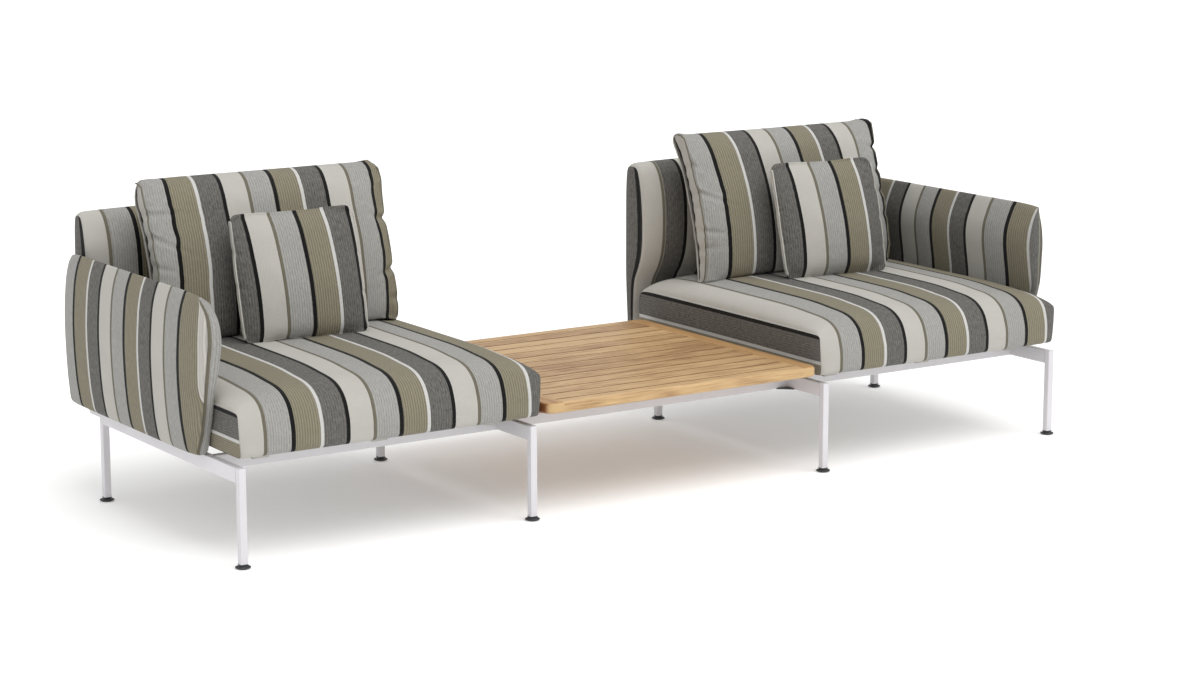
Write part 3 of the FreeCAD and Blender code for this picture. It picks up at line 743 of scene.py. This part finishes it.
def seat_pad(index):
    left = PAD_LEFTS[index]
    loops = []
    for d in stations(PAD_WIDTH, 3.0, 16.0):
        inwards = min(d, PAD_WIDTH - d)
        full = crown(inwards)
        sign = 1 if d < PAD_WIDTH / 2 else -1
        fade = max(0.0, 1 - inwards / PAD_DRAW_REACH) ** 2
        loop = []
        for e, m in zip(pad_end, pad_mid):
            p = e.lerp(m, full)
            low = clamp((PAD_SEAM - p.y) / PAD_BOXING)
            draw = PAD_SEAM_DRAW * math.sin(math.pi * clamp(p.x / PAD_DEPTH)) + PAD_FOOT_DRAW * low ** 2
            loop.append(Vector((left + d + sign * fade * draw, p.x, p.y)))
        loops.append(loop)

    def band(end, w, p):
        return PERIOD - PAD_BAND[index] * (PAD_SEAM - p.z) / FIT

    stripe = [(p.x - left) / FIT + PAD_START for loop in loops for p in loop]
    return soft_piece(f"seat_pad_{SIDES[index]}", loops, stripe, band, PAD_BULGE, across=9)


# Back panels

panel_front_mid = [(938, 261), (937, 296), (932, 366), (906, 424), (878, 460), (858, 503), (847, 568),
                   (846, 636), (854, 700), (880, 757), (909, 783)]
panel_front_end = [(938, 261), (936, 296), (934, 366), (927, 424), (911, 460), (898, 503), (894, 568),
                   (896, 636), (905, 709), (919, 760), (933, 779)]
panel_back_mid = [(964, 261), (965, 296), (970, 366), (973, 424), (974, 460), (974, 503), (974, 568),
                  (974, 636), (973, 709), (968, 762), (953, 784)]
panel_back_end = [(964, 261), (965, 296), (970, 366), (973, 424), (974, 460), (974, 503), (974, 568),
                  (974, 636), (973, 706), (968, 756), (959, 777)]
panel_mid = closed((951, 258.5), panel_front_mid, (931, 789), panel_back_mid)
panel_end = closed((951, 258.5), panel_front_end, (947, 782), panel_back_end)
panel_mid, panel_end = dense([panel_mid, panel_end], 14.0)
PANEL_WIDTH = 884.5
PANEL_OUTER = 1351.2  # middle of the bench to a panel's outer edge
PANEL_SWELL = 300.0
PANEL_CORNER = 14.0  # radius of the upper corners
PANEL_CORNER_FOOT = 758  # height where they start
PANEL_BAND = 50.0  # how much of the pattern a boxing shows, in photo units
PANEL_BULGE = 4.0
PANEL_STARTS = (11.0, 7.5)  # place in the stripes at each back panel's left edge, in photo units
PANEL_SHIFTS = (6.0, -8.0)  # how far the left seam sits further back than the measured outline
SHIFT_REACH = 200.0
SHIFT_FOOT = 430  # height where the shift starts, and how far above it is full
SHIFT_RISE = 120
JUMP = 80.0  # where the right back panel's cloth is pieced, in photo units
PIECED = (JUMP - PANEL_STARTS[1]) * FIT  # the same, from the panel's left edge


def back_panel(index):
    left = -PANEL_OUTER if index == 0 else PANEL_OUTER - PANEL_WIDTH
    half = len(panel_mid) // 2
    loops = []
    for d in sorted(stations(PANEL_WIDTH, 3.0, 16.0) + [PIECED - 0.1, PIECED + 0.1]):
        inwards = min(d, PANEL_WIDTH - d)
        full = swell(inwards, PANEL_SWELL)
        corner = PANEL_CORNER * (1 - swell(inwards, PANEL_CORNER))
        shift = PANEL_SHIFTS[index] * max(0.0, 1 - d / SHIFT_REACH)
        loop = []
        for i, (e, m) in enumerate(zip(panel_end, panel_mid)):
            p = e.lerp(m, full)
            top = clamp((p.y - PANEL_CORNER_FOOT) / (2 * PANEL_CORNER))
            front = shift * clamp((p.y - SHIFT_FOOT) / SHIFT_RISE) if i < half else 0.0
            loop.append(Vector((left + d, p.x + front, p.y - corner * top * top)))
        loops.append(loop)

    def stripe(p):
        u = (p.x - left) / FIT + PANEL_STARTS[index]
        return u if index == 0 or u < JUMP else u - JUMP + CHARCOAL_START

    return soft_piece(
        f"back_board_{SIDES[index]}", loops, [stripe(p) for loop in loops for p in loop],
        lambda end, w, p: PERIOD - PANEL_BAND * w, PANEL_BULGE, across=6,
    )


# Arms, measured in photo units: X from the outer leg face

arm_outer_front = [(-28, 186, 277), (-31, 158, 330), (-35, 133, 390), (-38, 114, 450), (-37, 107, 500),
                   (-34, 103, 545), (-31, 99, 590), (-30, 104, 642), (-32, 114, 673), (-37, 126, 692)]
arm_inner_front = [(1, 190, 277), (1, 166, 330), (-1, 143, 390), (-6, 121, 450), (3, 114, 500),
                   (10, 113, 545), (14, 111, 590), (8, 112, 642), (-3, 115, 673), (-16, 116, 696)]
arm_outer_mid = [(-41, 0, 277), (-54, 0, 330), (-60, 0, 390), (-63, 0, 450), (-64, 0, 500),
                 (-63, 0, 545), (-60, 0, 592), (-55, 0, 642), (-47, 0, 680), (-39, 0, 703)]
arm_inner_mid = [(-2, 0, 277), (-3, 0, 330), (-4, 0, 390), (-5, 0, 450), (1, 0, 500),
                 (8, 0, 545), (12, 0, 590), (8, 0, 632), (-4, 0, 667), (-18, 0, 696)]
arm_outer_rear = [(-27, 1006, 277), (-29, 1009, 330), (-30, 1010, 390), (-30, 1011, 450), (-30, 1011, 500),
                  (-30, 1010, 545), (-29, 1008, 592), (-28, 1003, 642), (-27, 996, 672), (-25, 990, 688)]
arm_inner_rear = [(-4, 1006, 277), (-5, 1009, 330), (-6, 1010, 390), (-6, 1011, 450), (-6, 1011, 500),
                  (-6, 1010, 545), (-6, 1008, 592), (-8, 1003, 642), (-11, 996, 672), (-15, 990, 688)]
arm_mid = closed((-22, 0, 274.5), arm_outer_mid, (-32, 0, 716), arm_inner_mid)
arm_front = closed((-14, 188, 274.5), arm_outer_front, (-37, 131, 708), arm_inner_front)
arm_rear = closed((-17, 1006, 274.5), arm_outer_rear, (-22, 978, 703), arm_inner_rear)
arm_mid, arm_front, arm_rear = dense([arm_mid, arm_front, arm_rear], 13.0)
ARM_LEFT_STRIPES = ((0, 990), (221, 807), (306, 725), (898, 155), (1020, 40))
ARM_RIGHT_STRIPES = ((0, 986), (124, 891), (234, 807), (340, 725), (428, 645), (598, 481), (755, 319),
                     (1020, 60))
# Where the left arm's last stripe ends, by height, and where it starts
ARM_LEFT_END = ((277, 170), (330, 142), (398, 122), (430, 119), (450, 123), (477, 126), (555, 124),
                (630, 126), (681, 130), (710, 135))
ARM_LAST_START = 221
ARM_LAST_WIDTH = 78
ARM_LENGTH = 905.0
ARM_FRONT_SWELL = 125.0
ARM_REAR_SWELL = 105.0  # reach of the arm's width at its rear
ARM_REAR_RISE = 95.0  # reach of its height there
ARM_BEHIND_PANEL = 105.0  # length of the inner face that lies behind the back panel's front
ARM_BULGE = 4.0
ARM_BELLY = 9.0  # how far the right arm's outer front edge bows
ARM_FOOT = 274
ARM_RISE = 435


def arm(index):
    half = len(arm_mid) // 2
    loops = []
    for d in stations(ARM_LENGTH, 3.5, 17.0):
        s = d / ARM_LENGTH
        loop = []
        for i, (f, m, r) in enumerate(zip(arm_front, arm_mid, arm_rear)):
            if index == 1 and i < half:
                f = f + Vector((ARM_BELLY * math.sin(math.pi * (f.z - ARM_FOOT) / ARM_RISE), 0.0, 0.0))
            if s < 0.5:
                full = swell(d, ARM_FRONT_SWELL)
                x, z = lerp(f.x, m.x, full), lerp(f.z, m.z, full)
            else:
                gap = ARM_BEHIND_PANEL if half < i < len(arm_mid) - 6 else 0.0
                full_x = swell(ARM_LENGTH - d - gap, ARM_REAR_SWELL)
                full = swell(ARM_LENGTH - d, ARM_REAR_RISE)
                x, z = lerp(r.x, m.x, full_x), lerp(r.z, m.z, full)
            x = x * FIT - OUTER if index == 0 else OUTER - x * FIT
            loop.append(Vector((x, lerp(f.y, r.y, s) * FIT, z * FIT)))
        loops.append(loop)

    def stripe(p):
        y = p.y / FIT
        if index == 1:
            return table(ARM_RIGHT_STRIPES, y)
        if y > ARM_LAST_START:
            return table(ARM_LEFT_STRIPES, y)
        end = table(ARM_LEFT_END, p.z / FIT)
        if y < end:
            return ARM_LAST + 0.9 * (end - y)
        return ARM_LAST - ARM_LAST_WIDTH * (y - end) / (ARM_LAST_START - end)

    def band(end, w, p):
        if index == 0:
            return 70.0 + 9.0 * min(w / 0.16, 1.0) + 30.0 * max(w - 0.16, 0.0)
        return 70.0 + 9.0 * w / 0.14 if w < 0.14 else 312.0 - 50.0 * w

    return soft_piece(
        f"arm_{SIDES[index]}", loops, [stripe(p) for loop in loops for p in loop],
        band, ARM_BULGE, across=8, flip=index == 0,
    )


# Loose back cushions

# Creases by kind, side of the bench and side edge, 1 the left one and -1 the right one: height at the
# edge, slope, reach, depth and half width, in millimetres
CREASES = {
    ("cushion", 0, 1): ((793, 0.03, 105, 5.0, 5), (733, -0.45, 115, 6.0, 5), (655, -0.2, 60, 3.0, 6)),
    ("cushion", 0, -1): ((728, 0.25, 80, 8.0, 7), (592, -0.15, 80, 7.0, 7), (512, 0.1, 45, 3.0, 7)),
    ("cushion", 1, 1): ((790, 0.1, 45, 3.0, 6), (713, -0.34, 115, 6.0, 5), (601, -0.1, 90, 4.0, 6),
                        (552, 0.1, 70, 3.0, 6)),
    ("cushion", 1, -1): ((800, 0.25, 60, 6.5, 6), (735, -0.2, 60, 4.5, 6), (668, 0.15, 60, 5.0, 7),
                         (600, 0.0, 45, 3.5, 7)),
    ("pillow", 0, 1): ((690, -0.3, 45, 2.0, 5), (600, 0.2, 45, 1.6, 5)),
    ("pillow", 0, -1): ((660, 0.3, 45, 2.0, 5), (560, -0.2, 45, 1.8, 5)),
    ("pillow", 1, 1): ((650, 0.3, 45, 2.0, 5), (560, -0.1, 45, 1.6, 5)),
    ("pillow", 1, -1): ((700, -0.3, 45, 2.2, 5), (610, 0.2, 45, 2.0, 5), (530, 0.0, 40, 1.5, 5)),
}


def creased(kind, index, inwards, sign, z):
    """Depth of the creases at a place, and how far they draw the side edge in."""
    depth = 0.0
    pull = 0.0
    for height, slope, reach, deep, half in CREASES[(kind, index, sign)]:
        if inwards < reach * 1.5:
            off = (z - height - slope * inwards) / half
            fade = math.exp(-((inwards / reach) ** 2) * 2.0)
            depth += deep * fade * (math.exp(-off * off) - 0.35 * math.exp(-((abs(off) - 2.4) ** 2)))
            pull += 0.9 * deep * fade * math.exp(-((z - height) / (2.6 * half)) ** 2)
    return depth, pull


cushion_front_mid = [(655, 453.5), (630, 458), (620, 482), (618, 530), (624, 587), (639, 655), (661, 720),
                     (695, 787), (731, 842), (779, 878)]
cushion_back_mid = [(757, 454), (790, 469), (806, 496), (816, 530), (832, 587), (841, 650), (848, 712),
                    (858, 775), (864, 822), (851, 862)]
cushion_front_end = [(674, 450), (667, 458), (662, 480), (660, 530), (666, 587), (679, 655), (705, 720),
                     (736, 787), (759, 842), (786, 880)]
cushion_back_end = [(692, 449), (700, 458), (706, 484), (714, 524), (732, 584), (752, 644), (774, 706),
                    (795, 770), (822, 822), (836, 858)]
cushion_mid = closed((712, 453.3), cushion_front_mid, (817, 883), cushion_back_mid)
cushion_end = closed((683, 447.5), cushion_front_end, (818, 881), cushion_back_end)
# How far the left cushion's left boxing is narrower at the back, by height
PINCH = ((450, 0), (584, 8), (706, 12), (770, 4), (800, 0), (830, 14), (858, 36), (885, 38))
cushion_mid, cushion_end = dense([cushion_mid, cushion_end], 6.0)
# Per cushion: width, distances of its ends from the pad's, how far each end is drawn in, its corners'
# radius, and how far the rear of its left boxing is drawn in
CUSHIONS = (
    (736.0, (108.0, 42.0), (0.0, 26.0), 14.0, 6.0),
    (725.0, (76.0, 85.0), (0.0, 23.0), 5.0, 12.0),
)
CUSHION_START = 80.0  # place in the stripes at each cushion's left edge
CUSHION_SWELL = 190.0
CUSHION_DRAW_REACH = 160.0
# Heights between which the drawing in of the ends grows and fades, and its least share at foot and waist
CUSHION_FOOT = 450
CUSHION_RISE = 420
FOOT_SHARE = 0.5
WAIST_SHARE = 0.38
CUSHION_TOP = 878
SINK = 58.0  # how far the cushions' feet follow the pads' crown down to its side seams
SINK_RISE = 120
CUSHION_BULGE = -3.0
# The boxings' place in the stripes at their front edge, and how much of the pattern they show
CUSHION_BAND = (398.0, 98.0)
LAST_STRIPE = 730  # from here on the right cushion's stripes are narrower
LAST_SHARE = 0.86


def back_cushion(index):
    width, gaps, draws, radius, rear_draw = CUSHIONS[index]
    left = PAD_LEFTS[index] + gaps[0]
    half = len(cushion_mid) // 2
    loops = []
    insets = []
    stripe = []
    arcs = [0.0] * len(cushion_mid)
    last_d, last_section = 0.0, cushion_end
    for d in stations(width, 3.0, 9.0):
        inwards = min(d, width - d)
        full = swell(inwards, CUSHION_SWELL)
        end = 0 if d < width / 2 else 1
        sign = (1, -1)[end]
        fade = max(0.0, 1 - inwards / CUSHION_DRAW_REACH) ** 1.5
        corner = 1 - swell(inwards, radius)
        sink = SINK * (1 - crown(gaps[end] + inwards))
        section = [e.lerp(m, full) for e, m in zip(cushion_end, cushion_mid)]
        loop = []
        for i, p in enumerate(section):
            front = i <= half
            high = clamp((p.y - CUSHION_FOOT) / CUSHION_RISE)
            waist = math.sin(math.pi * high) ** 0.8
            if high < 0.3:
                waist = max(waist, FOOT_SHARE)
            elif index == 0:
                waist = max(waist, WAIST_SHARE)
            draw = draws[end] * waist * fade
            if index == 0:
                arcs[i] += math.hypot(d - last_d, (p - last_section[i]).length)
                slant = 10.0 * clamp((720 - p.y) / 120) * (1 - d / width) - 9.0 * high * d / width
                stripe.append(CUSHION_START + (arcs[i] + slant - (0.85 * draw if end else 0.0)) / FIT)
            else:
                shift = 12.0 * clamp((d - 60) / 90) * (0.55 + 0.45 * high)
                u = CUSHION_START + (d - shift) / FIT
                stripe.append(u if u < LAST_STRIPE else LAST_STRIPE + (u - LAST_STRIPE) * LAST_SHARE)
            low = clamp(1 - (p.y - 455) / SINK_RISE)
            top = clamp((p.y - CUSHION_TOP + 2 * radius) / (2 * radius))
            foot = clamp(1 - (p.y - 447) / 34)
            depth, pull = creased("cushion", index, inwards, sign, p.y)
            insets.append(depth if 0 < i < half else 0.0)
            draw += pull * (1.0 if front else 0.2)
            if not front and end == 0:
                draw += rear_draw * math.sin(math.pi * high) ** 0.5 * fade
            y = p.x
            if index == 0 and end == 0:
                back = 1.0 if not front else 0.75 if i == half else 0.25 * max(0.0, (p.y - 840) / 40)
                y -= back * fade * table(PINCH, p.y)
            z = p.y - sink * low - radius * corner * (top * top - 1.1 * foot)
            loop.append(Vector((left + d + sign * draw, y, z)))
        last_d, last_section = d, section
        loops.append(loop)
    obj = soft_piece(
        f"back_cushion_soft_{SIDES[index]}", loops, stripe,
        lambda end, w, p: CUSHION_BAND[0] - CUSHION_BAND[1] * w, CUSHION_BULGE, across=8,
    )
    return obj, insets


# Lumbar pillows

pillow_front_mid = [(527, 455), (511, 482), (512, 540), (525, 611), (550, 680), (581, 742), (610, 775)]
pillow_back_mid = [(556, 455), (583, 490), (601, 545), (613, 611), (624, 680), (636, 738), (637, 773)]
pillow_front_end = [(528, 456.5), (533, 482), (545, 540), (562, 611), (579, 680), (598, 742), (611, 777)]
pillow_back_end = [(534, 456.5), (541, 482), (554, 540), (571, 611), (588, 680), (607, 742), (619, 777)]
pillow_mid = closed((540, 454.5), pillow_front_mid, (626, 786), pillow_back_mid)
pillow_end = closed((531, 454.5), pillow_front_end, (618, 786), pillow_back_end)
pillow_mid, pillow_end = dense([pillow_mid, pillow_end], 6.0)
# Per pillow: distance from the pad's left end, width, turn in degrees, sideways lean, extra height,
# how far its foot is tucked back, place in the stripes at its left end, and the stripes' own slant
PILLOWS = (
    (288.5, 363.0, 2.5, 0.0, 5.0, 3.0, 271.0, 9.0),
    (287.0, 355.0, 5.2, 10.0, 9.0, 11.0, 259.0, 0.0),
)
PILLOW_AXIS = 530.0  # Y of the upright line that a pillow turns about
PILLOW_SWELL = 120.0
PILLOW_DRAW = 4.0
PILLOW_DRAW_REACH = 110.0
PILLOW_CORNER = 19.0
PILLOW_FOOT = 454.5
PILLOW_TOP = 786
TUCK_RISE = 75
PILLOW_BAND = 30.0  # the boxings' place in the stripes: they are cream all over
PILLOW_BULGE = 2.0


def pillow_share(z):
    return clamp((z - 456) / 330)


def lumbar_pillow(index):
    offset, width, degrees, lean, rise, tuck, start, slant = PILLOWS[index]
    left = PAD_LEFTS[index] + offset
    turn = Matrix.Rotation(-math.radians(degrees), 3, "Z")
    base = Vector((left, PILLOW_AXIS, 0.0))
    half = len(pillow_mid) // 2
    loops = []
    insets = []
    for d in stations(width, 2.0, 9.0):
        inwards = min(d, width - d)
        full = swell(inwards, PILLOW_SWELL)
        sign = 1 if d < width / 2 else -1
        fade = max(0.0, 1 - inwards / PILLOW_DRAW_REACH) ** 1.5
        corner = 1 - swell(inwards, PILLOW_CORNER)
        loop = []
        for i, (e, m) in enumerate(zip(pillow_end, pillow_mid)):
            p = e.lerp(m, full)
            high = pillow_share(p.y)
            top = max(0.0, 1 - (PILLOW_TOP - p.y) / 34)
            low = max(0.0, 1 - (p.y - PILLOW_FOOT) / 30)
            depth, pull = creased("pillow", index, inwards, sign, p.y)
            insets.append(depth if 0 < i < half else 0.0)
            draw = (pull - PILLOW_DRAW * math.sin(math.pi * high) * fade) * sign - lean * high
            z = p.y + rise * high - corner * (PILLOW_CORNER * top * top - 13.0 * low)
            y = p.x - corner * 5.0 * top * top
            if i < half:
                y += tuck * max(0.0, 1 - (p.y - PILLOW_FOOT) / TUCK_RISE) ** 2 * full
            loop.append(base + turn @ (Vector((left + d + draw, y, z)) - base))
        loops.append(loop)

    def stripe(p):
        along = (turn.transposed() @ (p - base)).x
        high = pillow_share(p.z)
        return (along + lean * high) / FIT + start + slant * high

    obj = soft_piece(
        f"lumbar_pillow_soft_{SIDES[index]}", loops, [stripe(p) for loop in loops for p in loop],
        lambda end, w, p: PILLOW_BAND, PILLOW_BULGE, across=4,
    )
    return obj, insets


CUSHION_GROWTH = 0.03
CUSHION_CAP = 0.007
PILLOW_GROWTH = 0.02
PILLOW_CAP = 0.004
CUSHION_CORD = 2.2
PILLOW_CORD = 2.6
# Shares of a cushion's seam that its front and its rear piping follow, clear of each other at the poles
FRONT_HALF = (0.01, 0.49)
REAR_HALF = (0.51, 0.99)

for index, side in enumerate(SIDES):
    pad = seat_pad(index)
    panel = back_panel(index)
    arm_piece = arm(index)
    cushion, cushion_insets = back_cushion(index)
    pillow, pillow_insets = lumbar_pillow(index)
    cushion_body = f"back_cushion_{side}"
    pillow_body = f"lumbar_pillow_{side}"
    for obj, node, body, cloth, fill in (
        (pad, f"seat_cushion_{side}", "bench", STRIPED, 0.85),
        (panel, f"back_panel_{side}", "bench", STRIPED, 0.9),
        (arm_piece, f"arm_panel_{side}", "bench", STRIPED_ARM if index == 0 else STRIPED, 0.9),
        (cushion, f"back_cushion_{side}", cushion_body, STRIPED, 0.7),
        (pillow, f"lumbar_pillow_{side}", pillow_body, STRIPED, 0.75),
    ):
        obj.data.materials.append(cloth)
        obj.data.materials.append(BANDED)
        if obj is cushion:
            puff(obj, CUSHION_GROWTH, CUSHION_CAP)
            crease(obj, cushion_insets)
        if obj is pillow:
            puff(obj, PILLOW_GROWTH, PILLOW_CAP)
            crease(obj, pillow_insets)
        subdivided(obj)
        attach(obj, body)
        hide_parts(node)
    for seam in (0, 1):
        key = f"seam_{seam}"
        end = f"{side}_{seam}"
        piping(f"pillow_piping_{end}", pillow, key, PILLOW_CORD, CREAM_CLOTH, pillow_body)
        for word, cloth, share in (("", OLIVE_CLOTH, FRONT_HALF), ("_rear", CREAM_CLOTH, REAR_HALF)):
            piping(f"cushion{word}_piping_{end}", cushion, key, CUSHION_CORD, cloth, cushion_body, *share)


# Floor, light and camera

FLOOR_HALF = 30
PHOTO_WIDTH = 1200.0
FOCAL = 2835.5  # focal length, in the photo's pixels

floor = bpy.data.meshes.new("floor")
corners = [(x * FLOOR_HALF, y * FLOOR_HALF, 0) for x, y in ((-1, -1), (1, -1), (1, 1), (-1, 1))]
floor.from_pydata(corners, [], [(0, 1, 2, 3)])
floor.materials.append(Nodes("floor").finish(
    roughness=0.9, base_color=(0.93, 0.93, 0.93, 1.0), specular_ior_level=0.0,
    emission_color=(1.0, 1.0, 1.0, 1.0), emission_strength=0.17,
))
floor_object = add_object("floor", floor)

# The world lights the bench a little less brightly than the camera sees it
world = bpy.data.worlds.new("studio")
bpy.context.scene.world = world
world.use_nodes = True
tree = world.node_tree
background = tree.nodes["Background"]
background.inputs["Color"].default_value = (1.0, 1.0, 1.0, 1.0)
path = tree.nodes.new("ShaderNodeLightPath")
seen = tree.nodes.new("ShaderNodeMapRange")
seen.inputs["To Min"].default_value = 0.82
seen.inputs["To Max"].default_value = 1.0
tree.links.new(path.outputs["Is Camera Ray"], seen.inputs["Value"])
tree.links.new(seen.outputs["Result"], background.inputs["Strength"])

sun = bpy.data.lights.new("key", "SUN")
sun.energy = 1.5
sun.angle = math.radians(50)
sun_object = add_object("key", sun)
sun_object.rotation_euler = Vector((-0.12, 0.5, -1.0)).to_track_quat("-Z", "Y").to_euler()

# Place and aim were worked out from the frame's straight edges in the photo
camera = bpy.data.cameras.new("camera")
camera.sensor_width = 36.0
camera.lens = camera.sensor_width * FOCAL / PHOTO_WIDTH
camera.clip_end = 100.0
camera_object = add_object("camera", camera)
camera_object.location = (-4.402, -6.6468, 1.9193)
camera_object.rotation_euler = (math.radians(90 - 11.029), 0.0, math.radians(-33.753))
bpy.context.scene.camera = camera_object
bpy.context.scene.view_settings.view_transform = "Standard"
